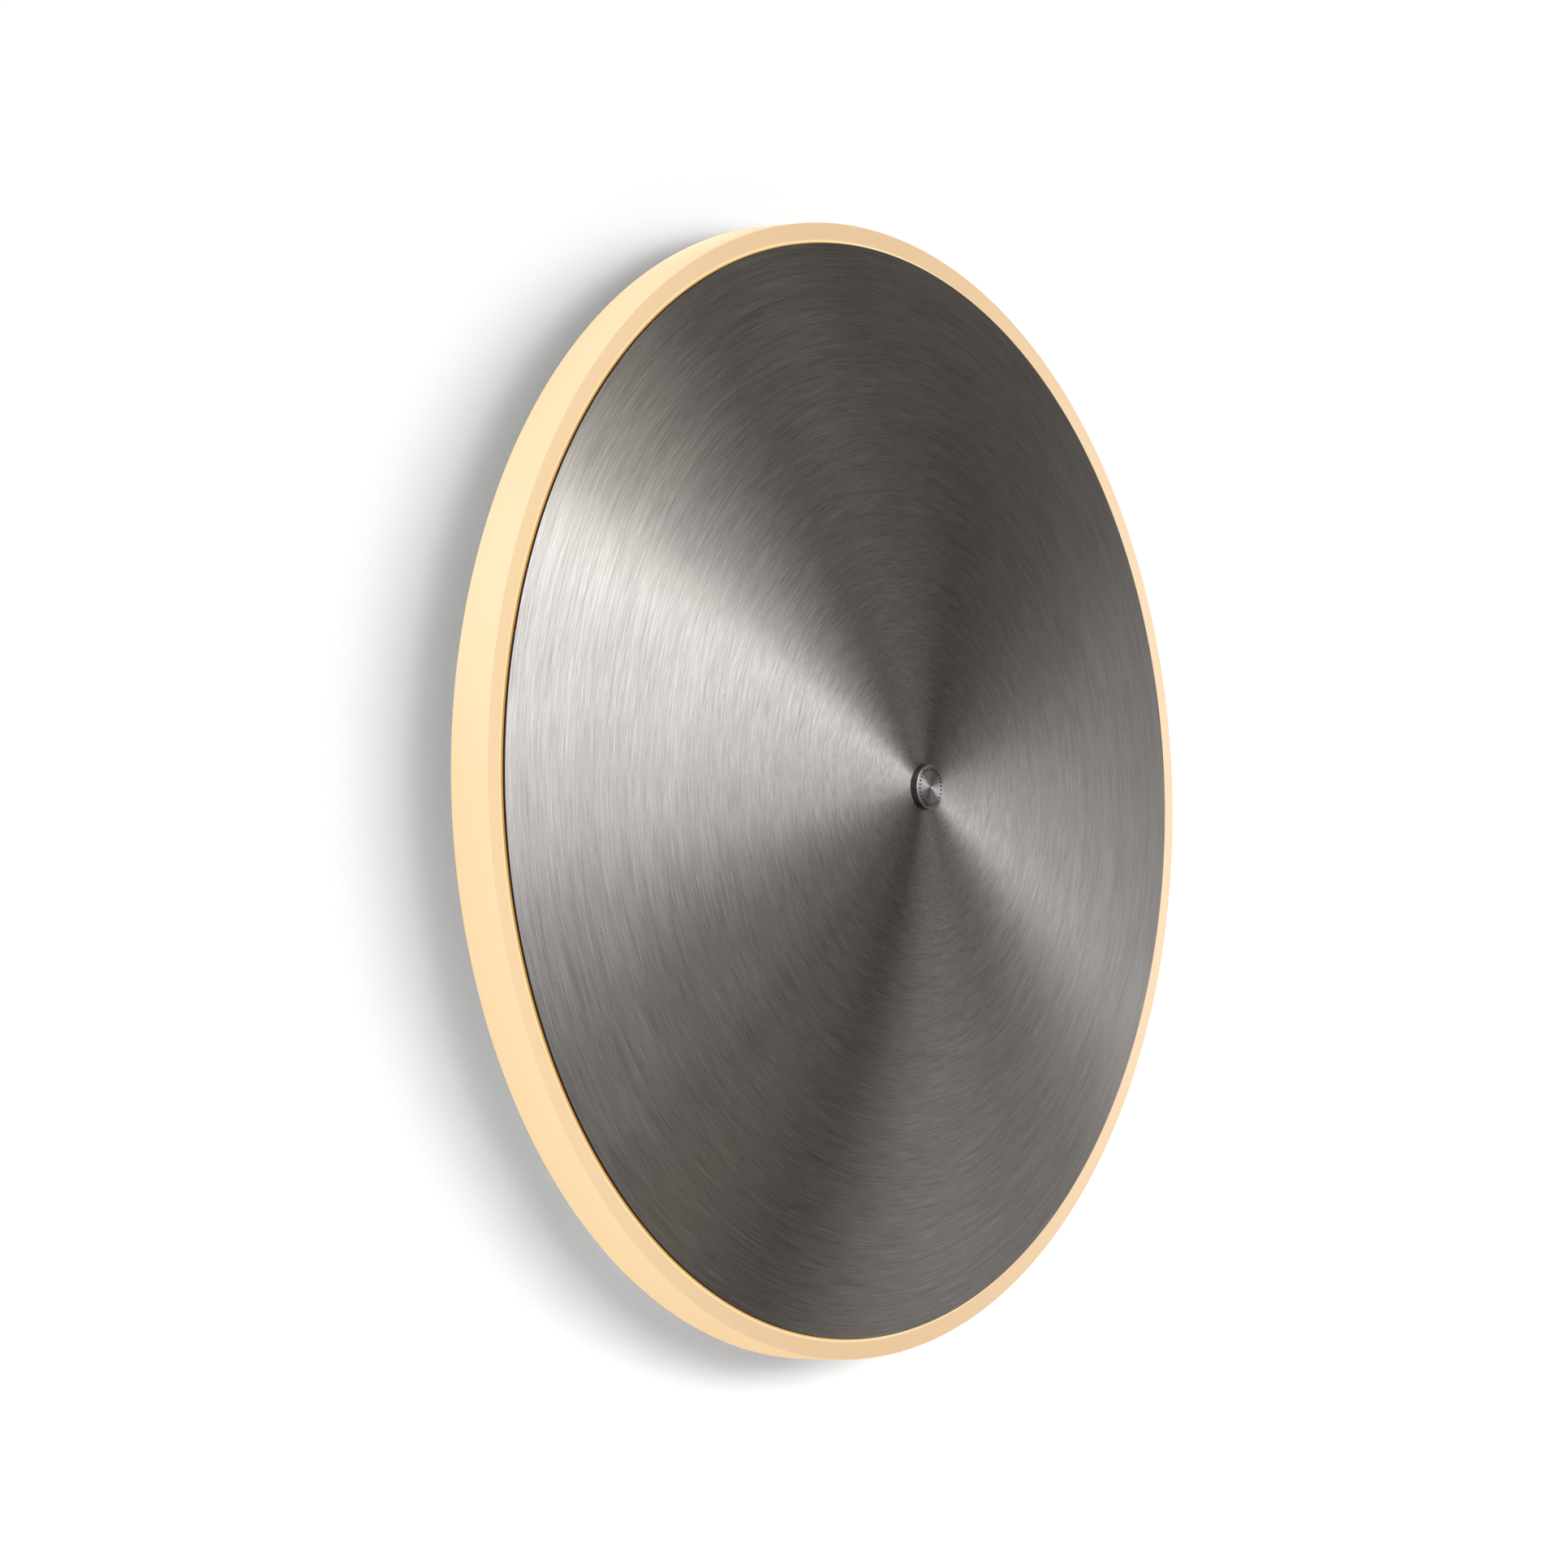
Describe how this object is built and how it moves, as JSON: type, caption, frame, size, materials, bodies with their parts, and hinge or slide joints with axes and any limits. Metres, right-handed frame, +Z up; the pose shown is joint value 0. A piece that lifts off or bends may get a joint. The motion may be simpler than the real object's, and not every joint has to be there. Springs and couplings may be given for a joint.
{
  "type": "wall light",
  "caption": "Round wall light: a shallow domed brushed-metal dish, held by a turned finial cap, over a thick edge-lit opal disc with an LED hub, driver, canopy and wall bracket behind it",
  "frame": {"origin": "centre of the wall bracket's back face, on the wall and on the lamp's axis", "axes": "+Z up, -Y out of the wall along the lamp's axis towards the room, +X to the right as seen from the room"},
  "size_m": [0.4139, 0.0731, 0.414],
  "materials": {
    "brushed_dish": "spun, with fine concentric brushing and a clear satin lacquer",
    "cap_metal": "turned, with fine concentric brushing on its face",
    "opal_acrylic": "opal, satin, lit from inside to a warm white",
    "white_enamel": "satin white powder coat",
    "reflector_white": "matt white film",
    "zinc": "bright zinc plate",
    "hub_aluminium": "as turned",
    "fixings": "nickel plate",
    "brass_fixing": "plain brass",
    "strip_white": "white flexible circuit",
    "led_phosphor": "yellow phosphor gel over the chip",
    "driver_plastic": "fine-textured moulding",
    "potting": "potting compound",
    "terminal_plastic": "natural polyamide",
    "black_rubber": "matt",
    "clear_rubber": "translucent silicone",
    "lead_brown": "PVC insulation",
    "lead_blue": "PVC insulation",
    "lead_green": "PVC insulation, green with a yellow stripe",
    "lead_red": "PVC insulation",
    "lead_black": "PVC insulation"
  },
  "bodies": {
    "finial": {"finial_cap": "cap_metal"},
    "finial_washer": {"cap_washer": "cap_metal"},
    "front": {"dish": "brushed_dish", "rim_pads": "clear_rubber"},
    "bracket": {"wall_bracket": "zinc", "bracket_earth_screw": "brass_fixing"},
    "lamp": {"canopy": "white_enamel", "canopy_side_screws": "fixings", "canopy_side_nuts": "fixings", "back_plate": "white_enamel", "led_hub": "hub_aluminium", "led_strip": "strip_white", "led_chips": "led_phosphor", "diffuser": "opal_acrylic", "front_reflector": "reflector_white", "retainer_ring": "zinc", "retainer_screws": "fixings", "chassis_screws": "fixings", "chassis_nuts": "fixings", "driver_case": "driver_plastic", "driver_board": "potting", "driver_lid": "driver_plastic", "driver_terminals": "terminal_plastic", "driver_screws": "fixings", "support_post": "hub_aluminium", "post_screw": "fixings", "post_washer": "fixings", "grommet": "black_rubber", "terminal_block": "terminal_plastic", "terminal_screws": "brass_fixing", "earth_lug": "brass_fixing", "earth_screw": "brass_fixing", "live_lead": "lead_brown", "neutral_lead": "lead_blue", "earth_lead": "lead_green", "led_lead_positive": "lead_red", "led_lead_negative": "lead_black", "seat_washer": "black_rubber"}
  },
  "joints": [
    {"name": "lamp_off", "type": "slide", "parent": "bracket", "child": "lamp", "axis": [0, -1, 0], "range_m": [0, 0.05]},
    {"name": "dish_off", "type": "slide", "parent": "lamp", "child": "front", "axis": [0, -1, 0], "range_m": [0, 0.08]},
    {"name": "finial_travel", "type": "slide", "parent": "front", "child": "finial_washer", "axis": [0, -1, 0], "range_m": [0, 0.008]},
    {"name": "finial_turn", "type": "hinge", "parent": "finial_washer", "child": "finial", "pos_m": [0, -0.07, 0], "axis": [0, -1, 0], "range_deg": [0, 2880]}
  ],
  "couplings": [
    {"joint": "finial_travel", "follows": "finial_turn", "m_per_rad": 0.00015915}
  ]
}
